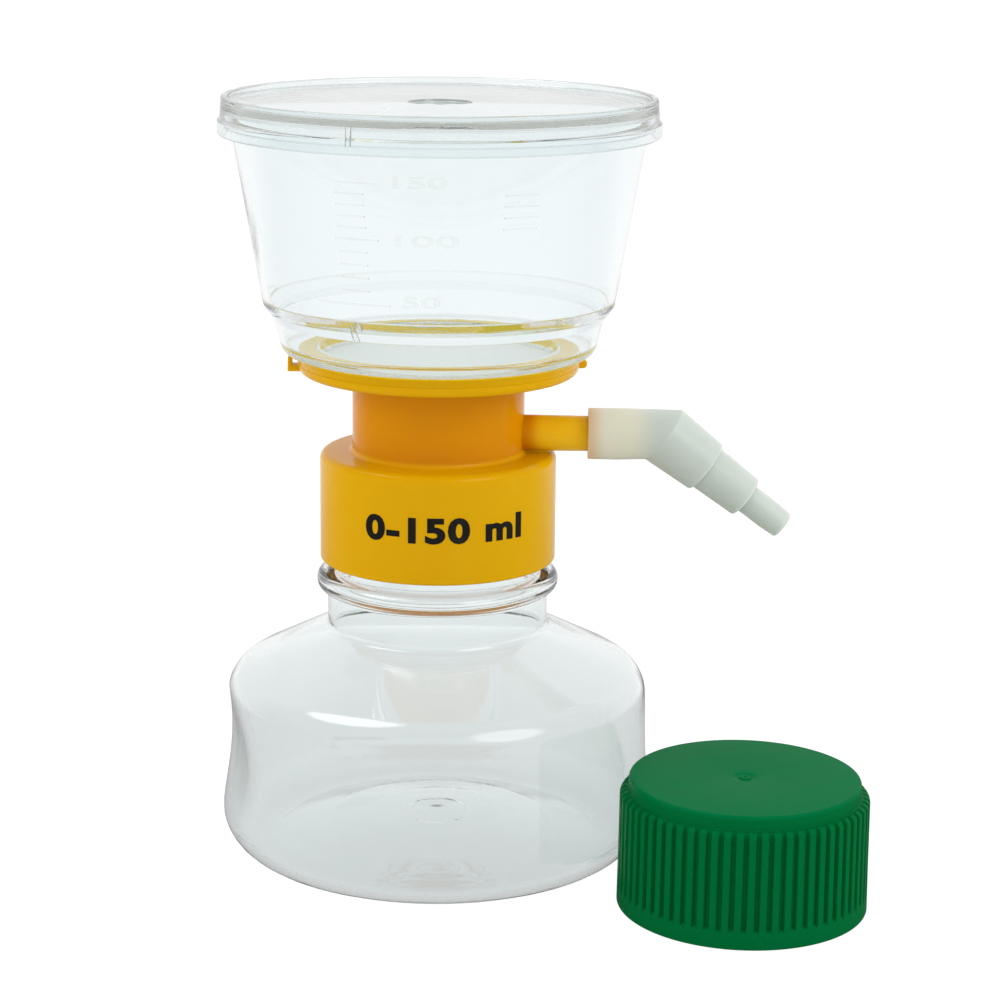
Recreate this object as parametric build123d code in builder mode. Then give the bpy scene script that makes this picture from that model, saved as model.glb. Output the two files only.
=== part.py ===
from build123d import *
from math import cos, radians, sin, tan
import os

os.makedirs("parts", exist_ok=True)

# Vacuum filtration unit for 150 ml, in millimetres. The bottle stands on z = 0 with its axis on Z,
# the filter head is screwed on it, and the side arm points along +X. Angles are counted from +X.

# Receiver bottle
bottle_wall = 1.3
foot_radius = 46.1  # where the leaning wall would meet the table
body_lean = 3.65  # degrees, the wall leans in towards the shoulder
base_corner = 9.7
standing_ring_radius = 34.5  # inner edge of the ring that the bottle stands on
push_up = 1.6  # rise of the middle of the base
shoulder_height = 37.7  # where wall and shoulder would meet in a sharp corner
shoulder_round = 6.0
shoulder_angle = 27.0
neck_swell = 1.93  # the neck is this much wider than the screw finish
bead_height = 57.96
bead_reach = 4.15  # the bead stands this far out from the screw finish
bead_thickness = 3.8
bead_chamfer = 1.2
finish_radius = 21.0  # the screw finish without its thread
finish_wall = 1.7
mouth_height = 81.2
mouth_chamfer = 0.5

# Finger grips, two hollows on opposite sides of the bottle
grip_depth = 2.6
grip_radius = 34.0
grip_height = 23.0
grip_turn = 14.5

# Features that grow from a wall start this deep inside it
sunk = 0.5

# Room for the thread between the bottle's finish and the bore of the collar or the cap
thread_room = 1.5

# Filter base: collar, neck, plate and side arm in one moulding
collar_wall = 1.95
collar_length = 22.55
collar_roof = 2.3
collar_edge = 1.3
collar_foot_edge = 0.4
base_neck_radius = 17.75
base_neck_wall = 1.8
base_neck_length = 16.6  # from the collar's roof to the plate
plate_radius = 28.9
plate_thickness = 4.2
plate_edge = 1.7
rabbet_depth = 2.1  # the upper half of the plate's edge is stepped in
rabbet_width = 0.25
gasket_thickness = 1.5
gasket_lap = 1.1  # how far the gasket reaches in past the bottle's mouth
gasket_clearance = 0.25

# Support grid and drain under the membrane
membrane_radius = 25.0
membrane_thickness = 0.2
membrane_clearance = 0.2
membrane_land = 1.0  # width of the flat seat under the membrane's edge
drain_depth = 1.2  # rib height at the rim of the drain floor
drain_slope = 3.0
grid_rib_width = 0.8
grid_rib_count = 12
grid_inner_radius = 5.0
spout_radius = 4.6
spout_bore = 3.0
spout_reach = 5.2  # how far the spout dips below the bottle's mouth
spout_cut = 40.0

# Side arm and the lugs beside the plate
arm_rise = 3.95  # axis of the arm above the collar's roof
arm_root_radius = 3.75
arm_taper = 0.45
arm_reach = 40.5
arm_bore = 1.9
arm_web = 3.0
lug_width = 3.0
lug_length = 2.1  # beyond the plate's edge
lug_thickness = 1.4
lug_lip_width = 0.8
lug_lip_height = 3.1
lug_draft = 0.2
lug_edge = 0.5
hooked_lug_bearing = 182.5
plain_lug_bearing = 12.5
plain_lug_thickness = 1.9

# Funnel
funnel_wall = 1.3
funnel_lean = 9.7  # degrees, half angle of the bowl
funnel_height = 47.4
rim_radius = 42.3
rim_flange = 1.0
rim_flange_thickness = 1.2
ledge_height = 10.2  # where the bowl's wall turns in to the ledge
ledge_width = 2.18
ledge_drop = 2.8
foot_band_radius = 31.95  # outside of the foot, at its bottom
foot_edge = 1.0
floor_opening = 23.0
floor_thickness = 2.1
mould_mark_width = 1.0
mould_mark_depth = 0.35
mould_mark_draft = 0.25
mould_mark_foot = 0.35  # the mark on the funnel stands out this much more at its foot
funnel_mark_bearing = -115.3
funnel_mark_height = 3.4

# Lid
lid_clearance = 0.25
lid_wall = 1.2
lid_ring_reach = 1.62  # the raised ring is this much wider than the funnel's rim
lid_ring_width = 1.42
lid_height = 4.78  # above the funnel's rim
lid_recess = 1.33
lid_plate = 1.3
lid_skirt = 2.86  # below the funnel's rim
lid_skirt_step = 0.4
lid_edge = 0.3
lid_ring_flare = 0.28  # the ring's side leans out this far
lid_shelf_clearance = 0.3
gate_radius = 6.3
gate_depth = 0.5
lid_mark_bearing = -110.1
lid_mark_height = 3.7
lid_mark_root = 0.7  # deep enough to meet the ring above the step

# Hose adaptor
socket_radius = 5.3
arm_grip = 9.6  # length of the side arm inside the socket
socket_depth = 10.2
socket_fit = 0.03
socket_straight = 6.0
bend_length = 9.64  # from the end of the straight part to the bend
elbow_bend = 37.0
elbow_radius = 6.35
wide_step_end = 5.7
wide_step_length = 11.2
middle_step_start = 4.9
middle_step_end = 4.48
middle_step_length = 10.5
tip_radius = 3.1
tip_length = 9.8
tip_land = 6.0
tip_root = 0.3  # bevel where the tip springs from the middle step
tip_end_radius = 2.85
step_edge = 0.6
hose_bore = 1.7
plug_radius = 3.2
plug_length = 5.0
plug_clearance = 0.1

# Storage cap, taken off and standing beside the bottle
cap_gap = 0.32  # between the cap's foot and the widest circle of the bottle
cap_bearing = -28.1
cap_height = 26.68
cap_top_thickness = 2.2
cap_disc_wall = 0.65  # outside of the disc, counted from the bore as the next two are
cap_disc_height = 2.9
cap_disc_edge = 0.4
cap_foot_wall = 2.68
cap_crest_wall = 2.45
cap_band = 3.5
groove_count = 64
groove_width = 0.95
groove_depth = 0.8
seal_ring_length = 3.0
seal_ring_wall = 1.1
seal_clearance = 0.15
cap_gate_radius = 1.6
cap_gate_depth = 0.4

# Heights and radii that follow from the sizes above
neck_radius = finish_radius + neck_swell
bead_radius = finish_radius + bead_reach
screw_bore_radius = finish_radius + thread_room
gasket_inner_radius = finish_radius - finish_wall - gasket_lap
bead_top = bead_height + bead_thickness / 2
bead_bottom = bead_height - bead_thickness / 2
roof_underside = mouth_height + gasket_thickness
roof_top = roof_underside + collar_roof
collar_bottom = roof_top - collar_length
collar_radius = screw_bore_radius + collar_wall
plate_underside = roof_top + base_neck_length
plate_height = plate_underside + plate_thickness  # top of the plate, where the funnel stands
membrane_seat = plate_height - membrane_thickness
funnel_rim = plate_height + funnel_height
lug_reach = plate_radius + lug_length
lid_ring_radius = rim_radius + lid_ring_reach
arm_height = roof_top + arm_rise
socket_start = arm_reach - arm_grip
elbow_reach = socket_start + socket_straight + bend_length
elbow = Vector(elbow_reach, 0, arm_height)
leg_direction = Vector(cos(radians(elbow_bend)), 0, -sin(radians(elbow_bend)))
leg_axis = Axis(elbow, leg_direction)
leg_section = Plane(origin=elbow, x_dir=leg_direction, z_dir=(0, -1, 0))
arm_axis = Axis((0, 0, arm_height), (1, 0, 0))
arm_section = Plane(origin=(0, 0, arm_height), x_dir=(1, 0, 0), z_dir=(0, -1, 0))
cap_disc_radius = screw_bore_radius + cap_disc_wall
cap_foot_radius = screw_bore_radius + cap_foot_wall
cap_crest_radius = screw_bore_radius + cap_crest_wall
cap_distance = foot_radius + cap_gap + cap_foot_radius
cap_axis_x = cap_distance * cos(radians(cap_bearing))
cap_axis_y = cap_distance * sin(radians(cap_bearing))
cap_section = Plane(origin=(cap_axis_x, cap_axis_y, 0), x_dir=(1, 0, 0), z_dir=(0, -1, 0))
cap_axis = Axis((cap_axis_x, cap_axis_y, 0), (0, 0, 1))


def arm_radius(reach):
    # The side arm narrows outwards, and the adaptor's socket narrows with it.
    return arm_root_radius - (reach - base_neck_radius) * tan(radians(arm_taper))


def spoke_plane(bearing, height=0.0):
    # Local X points outwards at this bearing, and local Y points up.
    outwards = (cos(radians(bearing)), sin(radians(bearing)), 0)
    sideways = (sin(radians(bearing)), -cos(radians(bearing)), 0)
    return Plane(origin=(0, 0, height), x_dir=outwards, z_dir=sideways)


# ---- receiver bottle ----


def body_radius(height):
    return foot_radius - height * tan(radians(body_lean))


def shoulder_line(radius, inset=0.0):
    # Height of the shoulder's cone at this radius, for a surface this far inside the outer one.
    climb = (body_radius(shoulder_height) - radius) * tan(radians(shoulder_angle))
    return shoulder_height + climb - inset / cos(radians(shoulder_angle))


def shoulder_corner(inset):
    # Where the wall and the shoulder meet, for a surface this far inside the outer one.
    lean = tan(radians(body_lean))
    slope = tan(radians(shoulder_angle))
    shift = inset / cos(radians(body_lean))
    drop = inset / cos(radians(shoulder_angle)) - shift * slope
    height = shoulder_height - drop / (1 - lean * slope)
    return body_radius(height) - shift, height


def body_outline(inset, neck_radius_here, top):
    # Base, wall and shoulder up to the neck, drawn from the centre of the base to the height top.
    foot = body_radius(inset) - inset / cos(radians(body_lean))
    root = shoulder_line(neck_radius_here, inset)
    Line((0, push_up + inset), (standing_ring_radius, inset))
    FilletPolyline(
        (standing_ring_radius, inset),
        (foot, inset),
        shoulder_corner(inset),
        (neck_radius_here, root),
        radius=[base_corner - inset, shoulder_round - inset],
    )
    Line((neck_radius_here, root), (neck_radius_here, top))


grip_plane = spoke_plane(grip_turn, grip_height)
grip_axis_distance = body_radius(grip_height) - grip_depth + grip_radius

with BuildPart() as bottle_cavity:
    inner_neck = neck_radius - bottle_wall
    inner_mouth = finish_radius - finish_wall
    with BuildSketch(Plane.XZ):
        with BuildLine():
            body_outline(bottle_wall, inner_neck, bead_bottom)
            Polyline(
                (inner_neck, bead_bottom),
                (inner_mouth, bead_top),
                (inner_mouth, mouth_height + 1),
                (0, mouth_height + 1),
                (0, bottle_wall + push_up),
            )
        make_face()
    revolve(axis=Axis.Z)
    with BuildSketch(grip_plane):
        with Locations((grip_axis_distance, 0), (-grip_axis_distance, 0)):
            Circle(grip_radius + bottle_wall)
    extrude(amount=2 * foot_radius, both=True, mode=Mode.SUBTRACT)

with BuildPart() as receiver_bottle:
    with BuildSketch(Plane.XZ):
        with BuildLine():
            body_outline(0, neck_radius, bead_bottom)
            Polyline(
                (neck_radius, bead_bottom),
                (bead_radius - bead_chamfer, bead_bottom),
                (bead_radius, bead_bottom + bead_chamfer),
                (bead_radius, bead_top - bead_chamfer),
                (bead_radius - bead_chamfer, bead_top),
                (finish_radius, bead_top),
                (finish_radius, mouth_height - mouth_chamfer),
                (finish_radius - mouth_chamfer, mouth_height),
                (0, mouth_height),
                (0, push_up),
            )
        make_face()
    revolve(axis=Axis.Z)
    with BuildSketch(grip_plane):
        with Locations((grip_axis_distance, 0), (-grip_axis_distance, 0)):
            Circle(grip_radius)
    extrude(amount=2 * foot_radius, both=True, mode=Mode.SUBTRACT)
    add(bottle_cavity.part, mode=Mode.SUBTRACT)

# ---- filter base: collar, neck, plate, drain spout and side arm ----

drain_rim = membrane_radius - membrane_land
drain_edge = membrane_seat - drain_depth
drain_centre = drain_edge - (drain_rim - spout_bore) * tan(radians(drain_slope))
spout_tip = mouth_height - spout_reach
neck_inside = base_neck_radius - base_neck_wall

with BuildPart() as filter_base:
    # Collar, neck and plate are one turned section.
    with BuildSketch(Plane.XZ):
        with BuildLine():
            Polyline(
                (screw_bore_radius, collar_bottom),
                (collar_radius - collar_foot_edge, collar_bottom),
                (collar_radius, collar_bottom + collar_foot_edge),
                (collar_radius, roof_top - collar_edge),
                (collar_radius - collar_edge, roof_top),
                (base_neck_radius, roof_top),
                (base_neck_radius, plate_underside),
                (plate_radius - plate_edge, plate_underside),
                (plate_radius, plate_underside + plate_edge),
                (plate_radius, plate_height - rabbet_depth),
                (plate_radius - rabbet_width, plate_height - rabbet_depth),
                (plate_radius - rabbet_width, plate_height),
                (membrane_radius + membrane_clearance, plate_height),
                (membrane_radius + membrane_clearance, membrane_seat),
                (drain_rim, membrane_seat),
                (drain_rim, drain_edge),
                (spout_bore, drain_centre),
                (spout_bore, plate_underside),
                (neck_inside, plate_underside),
                (neck_inside, roof_underside),
                (screw_bore_radius, roof_underside),
                close=True,
            )
        make_face()
    revolve(axis=Axis.Z)
    # Radial ribs carry the membrane over the sloping drain floor.
    with BuildSketch(Plane.XY.offset(drain_centre - sunk)):
        with PolarLocations(0, grid_rib_count):
            with Locations(((grid_inner_radius + drain_rim) / 2, 0)):
                Rectangle(drain_rim - grid_inner_radius + 0.4, grid_rib_width)
    extrude(amount=membrane_seat - drain_centre + sunk)
    # The drain spout hangs inside the neck and ends in a slanted tip below the bottle's mouth.
    with BuildSketch(Plane.XY.offset(spout_tip)):
        Circle(spout_radius)
        Circle(spout_bore, mode=Mode.SUBTRACT)
    extrude(amount=plate_underside - spout_tip + sunk)
    with BuildSketch(Plane.XZ):
        with BuildLine():
            tip_rise = 2 * spout_radius * tan(radians(spout_cut))
            Polyline(
                (-spout_radius - 0.1, spout_tip),
                (spout_radius + 0.1, spout_tip + tip_rise),
                (spout_radius + 0.1, spout_tip - 1),
                (-spout_radius - 0.1, spout_tip - 1),
                close=True,
            )
        make_face()
    extrude(amount=spout_radius + 0.1, both=True, mode=Mode.SUBTRACT)
    # Side arm with its web on the collar's roof
    with BuildSketch(arm_section):
        with BuildLine():
            Polyline(
                (neck_inside + base_neck_wall / 2, 0),
                (neck_inside + base_neck_wall / 2, arm_radius(neck_inside)),
                (arm_reach, arm_radius(arm_reach)),
                (arm_reach, 0),
                close=True,
            )
        make_face()
    revolve(axis=arm_axis)
    with BuildSketch(Plane.XY.offset(roof_top - collar_roof / 2)):
        with Locations(((base_neck_radius + collar_radius - collar_edge) / 2, 0)):
            Rectangle(collar_radius - collar_edge - base_neck_radius + 1, arm_web)
    extrude(amount=arm_height - roof_top + collar_roof / 2)
    with BuildSketch(Plane(origin=(spout_radius + 1, 0, arm_height), z_dir=(1, 0, 0))):
        Circle(arm_bore)
    extrude(amount=arm_reach, mode=Mode.SUBTRACT)
    # A hooked lug and a plain lug stand out from the plate's lower edge.
    with BuildSketch(spoke_plane(hooked_lug_bearing, plate_underside)):
        with BuildLine():
            lug_root = plate_radius - plate_edge - 1
            Polyline(
                (lug_root, 0),
                (lug_reach, 0),
                (lug_reach - lug_draft, lug_lip_height),
                (lug_reach - lug_lip_width, lug_lip_height),
                (lug_reach - lug_lip_width, lug_thickness),
                (lug_root, lug_thickness),
                close=True,
            )
        make_face()
    extrude(amount=lug_width / 2, both=True)
    with BuildSketch(spoke_plane(plain_lug_bearing, plate_underside)):
        with BuildLine():
            Polyline(
                (lug_root, 0),
                (lug_reach - lug_edge, 0),
                (lug_reach, lug_edge),
                (lug_reach, plain_lug_thickness - lug_edge),
                (lug_reach - lug_edge, plain_lug_thickness),
                (lug_root, plain_lug_thickness),
                close=True,
            )
        make_face()
    extrude(amount=lug_width / 2, both=True)

with BuildPart() as neck_gasket:
    with BuildSketch(Plane.XY.offset(mouth_height)):
        Circle(screw_bore_radius - gasket_clearance)
        Circle(gasket_inner_radius, mode=Mode.SUBTRACT)
    extrude(amount=gasket_thickness)

with BuildPart() as membrane:
    with BuildSketch(Plane.XY.offset(membrane_seat)):
        Circle(membrane_radius)
    extrude(amount=membrane_thickness)

# ---- funnel ----


def bowl_radius(height):
    return rim_radius - (funnel_height - height) * tan(radians(funnel_lean))


with BuildPart() as funnel:
    # Heights in this section count from the plate. The wall turns in at the ledge to the foot band.
    ledge_outer = bowl_radius(ledge_height)
    ledge_inner = ledge_outer - ledge_width
    ledge_bottom = ledge_height - ledge_drop
    band_slope = (ledge_inner - foot_band_radius) / ledge_bottom
    wall_across = funnel_wall / cos(radians(funnel_lean))
    inner_ledge_height = ledge_height + funnel_wall * 0.35
    inner_ledge_bottom = ledge_bottom + funnel_wall * 0.35
    with BuildSketch(spoke_plane(0, plate_height)):
        with BuildLine():
            Polyline(
                (floor_opening, 0),
                (foot_band_radius - foot_edge, 0),
                (foot_band_radius + band_slope * foot_edge, foot_edge),
                (ledge_inner, ledge_bottom),
                (ledge_outer, ledge_height),
                (bowl_radius(funnel_height - rim_flange_thickness), funnel_height - rim_flange_thickness),
                (rim_radius + rim_flange, funnel_height - rim_flange_thickness),
                (rim_radius + rim_flange, funnel_height),
                (rim_radius - wall_across, funnel_height),
                (bowl_radius(inner_ledge_height) - wall_across, inner_ledge_height),
                (bowl_radius(inner_ledge_height) - wall_across - ledge_width, inner_ledge_bottom),
                (foot_band_radius + band_slope * floor_thickness - funnel_wall, floor_thickness),
                (floor_opening, floor_thickness),
                close=True,
            )
        make_face()
    revolve(axis=Axis.Z)
    # A small moulding mark stands on the ledge.
    with BuildSketch(spoke_plane(funnel_mark_bearing, plate_height)):
        with BuildLine():
            Polyline(
                (ledge_inner - sunk, ledge_bottom),
                (ledge_inner + 2 * mould_mark_depth + mould_mark_foot, ledge_bottom),
                (ledge_outer + mould_mark_depth, ledge_bottom + funnel_mark_height),
                (ledge_outer - sunk, ledge_bottom + funnel_mark_height),
                close=True,
            )
        make_face()
    extrude(amount=mould_mark_width / 2, both=True)

# ---- lid ----

with BuildPart() as lid:
    skirt_inner = rim_radius + rim_flange + lid_clearance
    skirt_outer = skirt_inner + lid_wall
    ring_inner = lid_ring_radius - lid_ring_width
    shelf_inner = rim_radius + lid_shelf_clearance
    recess_floor = lid_height - lid_recess
    with BuildSketch(spoke_plane(0, funnel_rim)):
        with BuildLine():
            Polyline(
                (0, recess_floor - gate_depth),
                (gate_radius, recess_floor - gate_depth),
                (gate_radius, recess_floor),
                (ring_inner, recess_floor),
                (ring_inner, lid_height),
                (lid_ring_radius - lid_edge, lid_height),
                (lid_ring_radius, lid_height - lid_edge),
                (lid_ring_radius + lid_ring_flare, lid_edge),
                (skirt_outer, lid_edge - lid_skirt_step),
                (skirt_outer, lid_edge - lid_skirt),
                (skirt_outer - lid_edge, -lid_skirt),
                (skirt_inner, -lid_skirt),
                (skirt_inner, 0),
                (shelf_inner, 0),
                (shelf_inner, recess_floor - lid_plate),
                (0, recess_floor - lid_plate),
                close=True,
            )
        make_face()
    revolve(axis=Axis.Z)
    # A small moulding mark runs over the step of the skirt.
    with BuildSketch(spoke_plane(lid_mark_bearing, funnel_rim - lid_mark_height / 3)):
        with BuildLine():
            Polyline(
                (skirt_outer - lid_mark_root, 0),
                (skirt_outer + mould_mark_depth, 0),
                (skirt_outer + mould_mark_depth - mould_mark_draft, lid_mark_height),
                (skirt_outer - lid_mark_root, lid_mark_height),
                close=True,
            )
        make_face()
    extrude(amount=mould_mark_width / 2, both=True)

# ---- hose adaptor and its filter plug ----

with BuildPart() as hose_adaptor:
    # The socket widens from its straight part to the bend, where the stepped leg starts.
    with BuildSketch(arm_section):
        with BuildLine():
            Polyline(
                (socket_start, 0),
                (socket_start, socket_radius),
                (socket_start + socket_straight, socket_radius),
                (socket_start + socket_straight, 0),
                close=True,
            )
        make_face()
    revolve(axis=arm_axis)
    with BuildSketch(Plane(origin=(socket_start + socket_straight, 0, arm_height), z_dir=(1, 0, 0))):
        Circle(socket_radius)
    with BuildSketch(Plane(origin=elbow, z_dir=leg_direction)):
        Circle(elbow_radius)
    loft(ruled=True)
    middle_start = wide_step_length
    tip_start = middle_start + middle_step_length
    leg_end = tip_start + tip_length
    with BuildSketch(leg_section):
        with BuildLine():
            Polyline(
                (0, elbow_radius),
                (middle_start - step_edge, wide_step_end),
                (middle_start, wide_step_end - step_edge),
                (middle_start, middle_step_start),
                (tip_start - step_edge, middle_step_end),
                (tip_start, middle_step_end - step_edge),
                (tip_start, tip_radius + tip_root),
                (tip_start + tip_root, tip_radius),
                (tip_start + tip_land, tip_radius),
                (leg_end - step_edge, tip_end_radius),
                (leg_end, tip_end_radius - step_edge),
                (leg_end, 0),
                (0, 0),
                close=True,
            )
        make_face()
    revolve(axis=leg_axis)
    # Tapered socket for the side arm, chamber for the plug, and the bore to the tip
    with BuildSketch(arm_section):
        with BuildLine():
            socket_end = socket_start + socket_depth
            chamber_radius = plug_radius + plug_clearance
            Polyline(
                (socket_start - 1, 0),
                (socket_start - 1, arm_radius(socket_start - 1) + socket_fit),
                (socket_end, arm_radius(socket_end) + socket_fit),
                (socket_end, chamber_radius),
                (socket_end + plug_length + plug_clearance, chamber_radius),
                (socket_end + plug_length + plug_clearance, 0),
                close=True,
            )
        make_face()
    revolve(axis=arm_axis, mode=Mode.SUBTRACT)
    with BuildSketch(Plane(origin=elbow, z_dir=leg_direction)):
        Circle(hose_bore)
    extrude(amount=leg_end + 1, mode=Mode.SUBTRACT)

with BuildPart() as air_filter_plug:
    with BuildSketch(Plane(origin=(socket_start + socket_depth, 0, arm_height), z_dir=(1, 0, 0))):
        Circle(plug_radius)
    extrude(amount=plug_length)

# ---- storage cap ----

with BuildPart() as storage_cap:
    shoulder_level = cap_height - cap_disc_height
    seal_radius = finish_radius - finish_wall - seal_clearance
    inner_roof = cap_height - cap_top_thickness
    with BuildSketch(cap_section):
        with BuildLine():
            Polyline(
                (screw_bore_radius, 0),
                (cap_foot_radius, 0),
                (cap_crest_radius, shoulder_level),
                (cap_disc_radius, shoulder_level),
                (cap_disc_radius, cap_height - cap_disc_edge),
                (cap_disc_radius - cap_disc_edge, cap_height),
                (cap_gate_radius, cap_height),
                (cap_gate_radius, cap_height - cap_gate_depth),
                (0, cap_height - cap_gate_depth),
                (0, inner_roof),
                (seal_radius - seal_ring_wall, inner_roof),
                (seal_radius - seal_ring_wall, inner_roof - seal_ring_length),
                (seal_radius, inner_roof - seal_ring_length),
                (seal_radius, inner_roof),
                (screw_bore_radius, inner_roof),
                close=True,
            )
        make_face()
    revolve(axis=cap_axis)
    # Grip grooves, open at the shoulder and closed by a plain band at the foot
    with BuildSketch(Plane(origin=(cap_axis_x, cap_axis_y, cap_band))):
        with PolarLocations(cap_crest_radius - groove_depth + 1, groove_count):
            Rectangle(2, groove_width)
    extrude(amount=cap_height, mode=Mode.SUBTRACT)

pieces = {
    "lid": lid,
    "funnel": funnel,
    "membrane": membrane,
    "filter_base": filter_base,
    "neck_gasket": neck_gasket,
    "hose_adaptor": hose_adaptor,
    "air_filter_plug": air_filter_plug,
    "receiver_bottle": receiver_bottle,
    "storage_cap": storage_cap,
}
for name, piece in pieces.items():
    piece.part.label = name
    export_step(piece.part, f"parts/{name}.step")
    print(name, round(piece.part.volume / 1000, 2), "cm3")
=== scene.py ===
from math import atan2, cos, degrees, hypot, pi, radians, sin, sqrt, tan

import bmesh
import bpy
from mathutils import Matrix, Vector


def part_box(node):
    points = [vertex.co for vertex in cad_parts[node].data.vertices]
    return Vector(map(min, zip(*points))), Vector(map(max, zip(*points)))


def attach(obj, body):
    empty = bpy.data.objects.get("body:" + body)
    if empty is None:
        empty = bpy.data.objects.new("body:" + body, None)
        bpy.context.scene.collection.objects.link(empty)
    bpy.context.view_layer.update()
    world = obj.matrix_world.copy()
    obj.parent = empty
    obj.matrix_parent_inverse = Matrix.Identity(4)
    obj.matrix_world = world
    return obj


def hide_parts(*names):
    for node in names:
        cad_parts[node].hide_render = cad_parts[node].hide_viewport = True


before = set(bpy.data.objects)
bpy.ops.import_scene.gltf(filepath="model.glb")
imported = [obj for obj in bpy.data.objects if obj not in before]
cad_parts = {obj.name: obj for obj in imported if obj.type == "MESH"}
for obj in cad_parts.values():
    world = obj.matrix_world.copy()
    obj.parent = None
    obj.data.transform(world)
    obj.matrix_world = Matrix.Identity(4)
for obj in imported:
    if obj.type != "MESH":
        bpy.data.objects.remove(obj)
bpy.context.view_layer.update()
mm = 0.001  # the settings below are in millimetres, and Blender works in metres
roundingStep = 9  # degrees of a rounded corner that one edge takes
mergeDistance = 2e-6  # metres between two points that become one
scene = bpy.context.scene
print("frame loaded")


def top(node):
    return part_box(node)[1][2] / mm


def bottom(node):
    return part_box(node)[0][2] / mm


mouthHeight = top("receiver_bottle")
collarBottom = bottom("filter_base")
plateHeight = top("filter_base")
funnelRim = top("funnel")
lidHeight = top("lid")
capHeight = top("storage_cap")


def wire(corners, closed=False):
    # A chain of edges in the XZ plane. Each corner is radius, height and the radius that rounds it.
    bm = bmesh.new()
    verts = [bm.verts.new((r * mm, 0, z * mm)) for r, z, *_ in corners]
    for a, b in zip(verts, verts[1:]):
        bm.edges.new((a, b))
    if closed:
        bm.edges.new((verts[-1], verts[0]))
    count = len(corners)
    for i, (r, z, *rounding) in enumerate(corners):
        if not rounding or not rounding[0] or (not closed and i in (0, count - 1)):
            continue
        before, after = corners[i - 1], corners[(i + 1) % count]
        into = Vector((r - before[0], z - before[1]))
        out = Vector((after[0] - r, after[1] - z))
        turn = into.angle(out)
        bmesh.ops.bevel(bm, geom=[verts[i]], affect="VERTICES", offset=rounding[0] * tan(turn / 2) * mm,
                        segments=max(2, round(degrees(turn) / roundingStep)), profile=0.5, material=-1)
    return bm


def merged(bm):
    # Points in one place become one, and the faces point outwards.
    bmesh.ops.remove_doubles(bm, verts=bm.verts[:], dist=mergeDistance)
    bmesh.ops.recalc_face_normals(bm, faces=bm.faces[:])
    return bm


def spun(bm, steps, axis=(0, 0, 1)):
    bmesh.ops.spin(bm, geom=bm.verts[:] + bm.edges[:], cent=(0, 0, 0), axis=axis, dvec=(0, 0, 0),
                   angle=2 * pi, steps=steps, use_merge=True, use_duplicate=False)
    return merged(bm)


def newVerts(made):
    return [item for item in made["geom"] if isinstance(item, bmesh.types.BMVert)]


def turned(bm, angle, verts=None):
    bmesh.ops.rotate(bm, cent=(0, 0, 0), matrix=Matrix.Rotation(angle, 3, "Z"), verts=verts or bm.verts[:])
    return bm


def doubledRound(bm, doublings):
    # Fills the circle with turned copies of one sector, twice as many at each step.
    for i in range(doublings):
        made = bmesh.ops.duplicate(bm, geom=bm.verts[:] + bm.edges[:] + bm.faces[:])
        turned(bm, 2 * pi * 2 ** i / 2 ** doublings, newVerts(made))
    return merged(bm)


def block(width, depth, height, centre=(0, 0, 0)):
    # A box along X, Y and Z.
    bm = bmesh.new()
    bmesh.ops.create_cube(bm, size=1)
    bmesh.ops.scale(bm, vec=(width * mm, depth * mm, height * mm), verts=bm.verts[:])
    bmesh.ops.translate(bm, vec=[part * mm for part in centre], verts=bm.verts[:])
    return bm


def slab(outline, width, rounding, bearing):
    # A small upright plate with rounded edges: its outline is radius and height, at one bearing.
    bm = bmesh.new()
    face = bm.faces.new([bm.verts.new((r * mm, -width / 2 * mm, z * mm)) for r, z in outline])
    made = bmesh.ops.extrude_face_region(bm, geom=[face])
    bmesh.ops.translate(bm, vec=(0, width * mm, 0), verts=newVerts(made))
    bmesh.ops.recalc_face_normals(bm, faces=bm.faces[:])
    bmesh.ops.bevel(bm, geom=bm.edges[:], affect="EDGES", offset=rounding * mm, segments=2, profile=0.5,
                    material=-1)
    return turned(bm, radians(bearing))


def joined(target, *others):
    # Adds the other bmeshes to the first one.
    for other in others:
        mesh = bpy.data.meshes.new("part")
        other.to_mesh(mesh)
        other.free()
        target.from_mesh(mesh)
        bpy.data.meshes.remove(mesh)
    return target


def clamped(value):
    return max(0.0, min(1.0, value))


def piece(name, bm, material, body, replaced=(), sharp=32):
    mesh = bpy.data.meshes.new(name)
    bm.to_mesh(mesh)
    bm.free()
    mesh.shade_smooth()
    mesh.set_sharp_from_angle(angle=radians(sharp))
    mesh.materials.append(material)
    obj = bpy.data.objects.new(name, mesh)
    scene.collection.objects.link(obj)
    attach(obj, body)
    if replaced:
        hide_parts(*replaced)


def nodeGroup(name, inputs, outputs):
    group = bpy.data.node_groups.new(name, "ShaderNodeTree")
    for label, value in inputs.items():
        kind = "NodeSocketColor" if isinstance(value, tuple) else "NodeSocketFloat"
        group.interface.new_socket(label, in_out="INPUT", socket_type=kind).default_value = value
    for label, kind in outputs.items():
        group.interface.new_socket(label, in_out="OUTPUT", socket_type=kind)
    start = group.nodes.new("NodeGroupInput")
    end = group.nodes.new("NodeGroupOutput")
    return group, start, end


def node(tree, kind, **values):
    made = tree.nodes.new("ShaderNode" + kind)
    for key, value in values.items():
        setattr(made, key, value)
    return made


def mathNode(tree, operation, a, b):
    made = node(tree, "Math", operation=operation)
    for socket, value in zip(made.inputs, (a, b)):
        if isinstance(value, (int, float)):
            socket.default_value = value
        else:
            tree.links.new(value, socket)
    return made.outputs[0]


def ramp(tree, value, low, high, first=0.0, last=1.0):
    made = node(tree, "MapRange", interpolation_type="SMOOTHSTEP")
    for label, number in (("From Min", low), ("From Max", high), ("To Min", first), ("To Max", last)):
        made.inputs[label].default_value = number
    tree.links.new(value, made.inputs["Value"])
    return made.outputs["Result"]


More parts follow.
